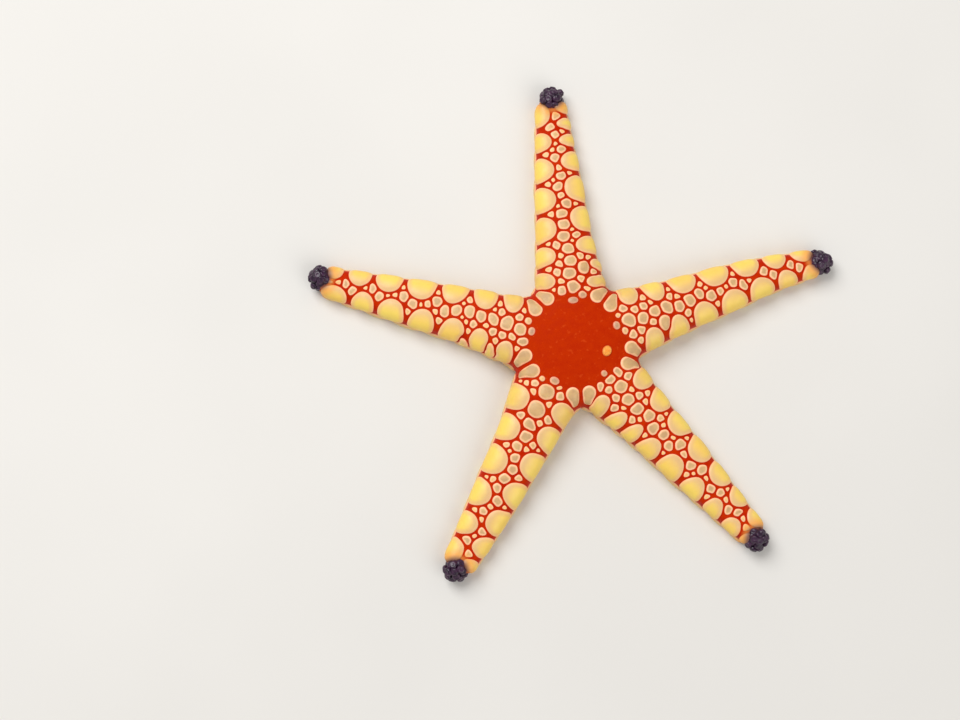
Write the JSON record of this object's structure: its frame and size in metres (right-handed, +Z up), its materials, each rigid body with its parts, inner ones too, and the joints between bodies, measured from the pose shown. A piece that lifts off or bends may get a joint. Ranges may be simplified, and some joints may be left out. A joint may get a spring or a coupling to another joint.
{
  "type": "necklace sea star",
  "caption": "Young tiled sea star with a red disc, cream plates set in red lines and dark purple arm tips, lying flat with its mouth down.",
  "frame": {"origin": "middle of the base of the bounding box, on the floor that the underside rests on", "axes": "+Z up, from the mouth to the back; +X along the widest span, near the way the arm east-north-east points; +Y the way the arm nearest to north points"},
  "size_m": [0.0744, 0.0706, 0.0058],
  "materials": {
    "skin": "velvety red skin, finely grained",
    "plates": "smooth domed limy plates, cream to yellow with a paler pink rim, satin",
    "tip_feet": "dark purple, wet and glossy",
    "jaws": "matt limy cream",
    "madreporite": "matt orange, finely grooved",
    "tube_feet": "pale, soft and slightly see-through, satin"
  },
  "bodies": {
    "root": {"disc": "skin", "madreporite": "madreporite", "mouth": "jaws", "arm_1": "plates", "arm_2": "plates", "arm_3": "plates", "arm_4": "plates", "arm_5": "plates", "arm_tip_1": "tip_feet", "arm_tip_2": "tip_feet", "arm_tip_3": "tip_feet", "arm_tip_4": "tip_feet", "arm_tip_5": "tip_feet"}
  },
  "joints": []
}
